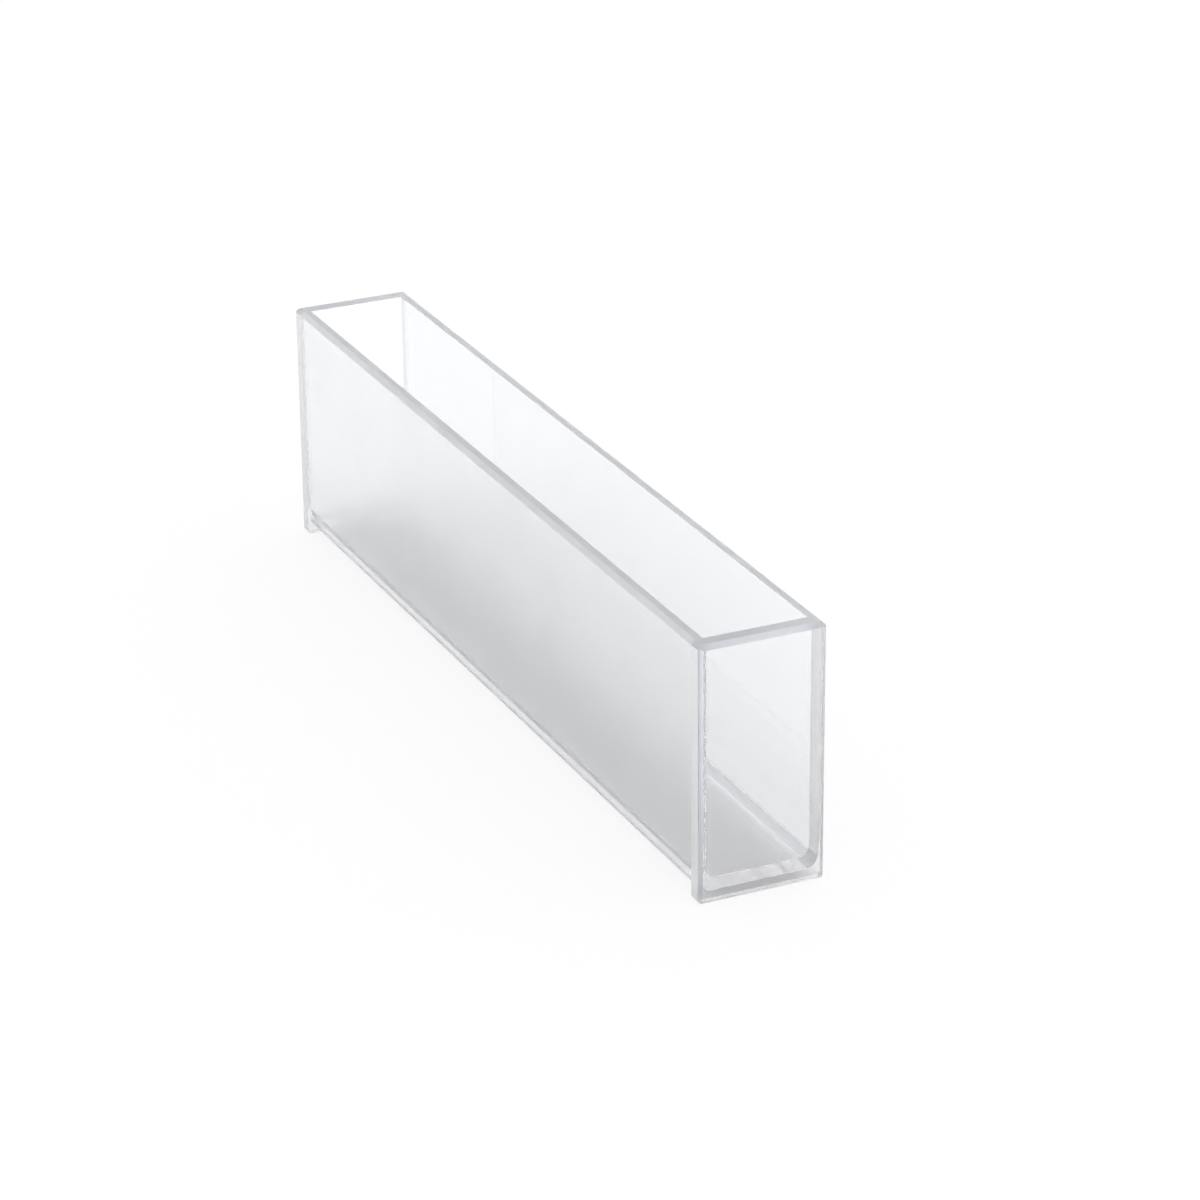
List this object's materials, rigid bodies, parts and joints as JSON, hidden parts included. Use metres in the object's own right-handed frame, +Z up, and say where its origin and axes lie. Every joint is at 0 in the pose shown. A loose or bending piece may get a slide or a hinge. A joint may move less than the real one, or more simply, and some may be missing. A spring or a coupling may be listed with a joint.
{
  "type": "long-path cuvette",
  "caption": "Open-topped rectangular glass cuvette: a frosted U-shaped trough closed by clear end windows that also form its feet.",
  "frame": {"origin": "on the bench, under the middle of the cell", "axes": "+X along the light path towards the front window, Y across the cell's width, +Z up"},
  "size_m": [0.1382, 0.0178, 0.036],
  "materials": {
    "ground_glass": "optical glass, polished inside and finely ground outside, so that it is frosted",
    "window_glass": "clear optical glass with both faces polished and its edges finely ground"
  },
  "bodies": {
    "root": {"trough": "ground_glass", "front_window": "window_glass", "rear_window": "window_glass"}
  },
  "joints": []
}
